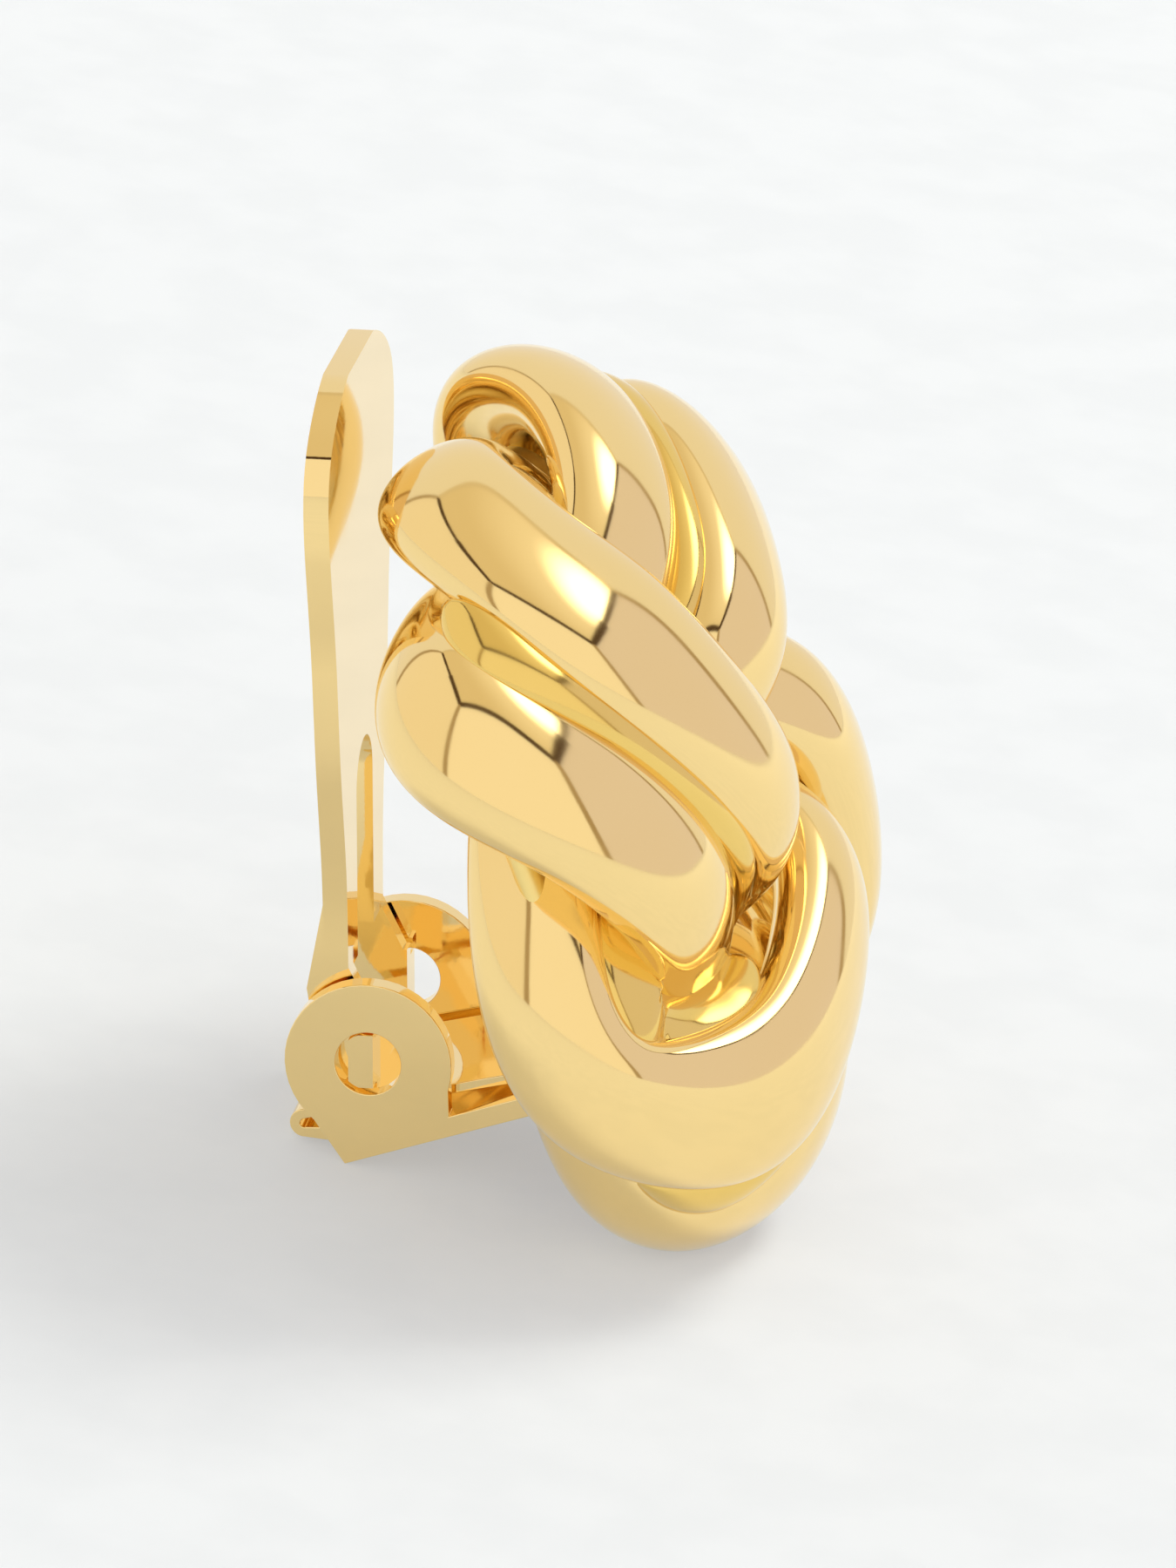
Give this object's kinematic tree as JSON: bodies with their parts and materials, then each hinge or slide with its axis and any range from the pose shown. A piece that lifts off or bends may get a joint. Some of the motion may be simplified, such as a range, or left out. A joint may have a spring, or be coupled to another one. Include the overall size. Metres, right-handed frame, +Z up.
{
  "type": "clip-on earring",
  "caption": "Love-knot clip-on earring: flat oval strands woven over and under, with a sprung slotted paddle hinged in a bracket behind.",
  "frame": {"origin": "on the surface that the earring stands on, under the middle of its overall box", "axes": "+Z up as it stands by itself, the knot's face towards -Y and leaning back, the clip behind it at +Y, the hinge axis along X"},
  "size_m": [0.0208, 0.0148, 0.0193],
  "materials": {
    "knot_gold": "high polish, gold plated",
    "clip_gold": "polished, gold plated"
  },
  "bodies": {
    "knot": {"strand_one": "knot_gold", "strand_two": "knot_gold", "strand_three": "knot_gold", "strand_four": "knot_gold", "hinge_bracket": "clip_gold"},
    "paddle": {"clip_paddle": "clip_gold"}
  },
  "joints": [
    {"name": "paddle_hinge", "type": "hinge", "parent": "knot", "child": "paddle", "pos_m": [0, 0.00393, 0.00269], "axis": [-1, 0, 0], "range_deg": [0, 80], "stiffness_Nm_per_rad": 0.004, "springref_deg": -45.84}
  ]
}
